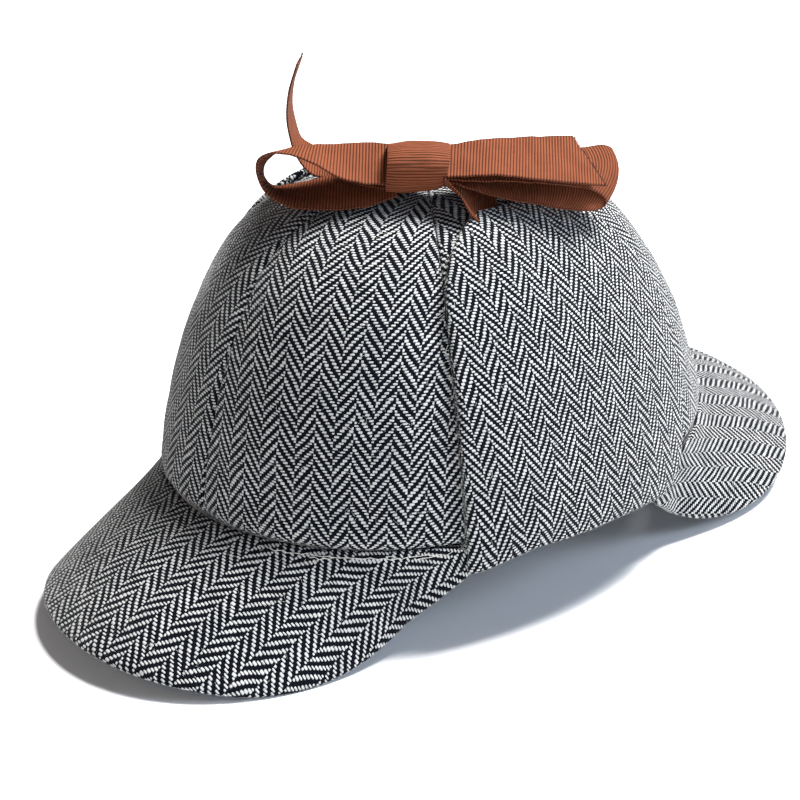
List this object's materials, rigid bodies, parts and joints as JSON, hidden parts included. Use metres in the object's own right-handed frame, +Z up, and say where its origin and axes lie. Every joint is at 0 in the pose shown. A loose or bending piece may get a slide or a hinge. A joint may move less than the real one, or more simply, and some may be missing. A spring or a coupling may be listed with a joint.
{
  "type": "deerstalker hat",
  "caption": "Deerstalker hat with a sewn panel crown, a peak at front and rear, and ear flaps tied up over the crown with a ribbon bow.",
  "frame": {"origin": "middle of the hat's bounding box, on the plane that the peaks stand on", "axes": "+Z up, the hat's front faces -Y, the wearer's left is +X"},
  "size_m": [0.1658, 0.3092, 0.1705],
  "materials": {
    "herringbone_cloth": "black and off-white herringbone wool cloth",
    "grosgrain_ribbon": "copper brown ribbed grosgrain ribbon"
  },
  "bodies": {
    "root": {"crown_panel_1": "herringbone_cloth", "crown_panel_2": "herringbone_cloth", "crown_panel_3": "herringbone_cloth", "crown_panel_4": "herringbone_cloth", "crown_panel_5": "herringbone_cloth", "crown_panel_6": "herringbone_cloth", "front_peak": "herringbone_cloth", "rear_peak": "herringbone_cloth", "left_ear_flap": "herringbone_cloth", "right_ear_flap": "herringbone_cloth", "bow_knot": "grosgrain_ribbon", "front_loop": "grosgrain_ribbon", "front_tail": "grosgrain_ribbon", "rear_loop": "grosgrain_ribbon", "rear_tail": "grosgrain_ribbon", "left_tie": "grosgrain_ribbon", "right_tie": "grosgrain_ribbon"}
  },
  "joints": []
}
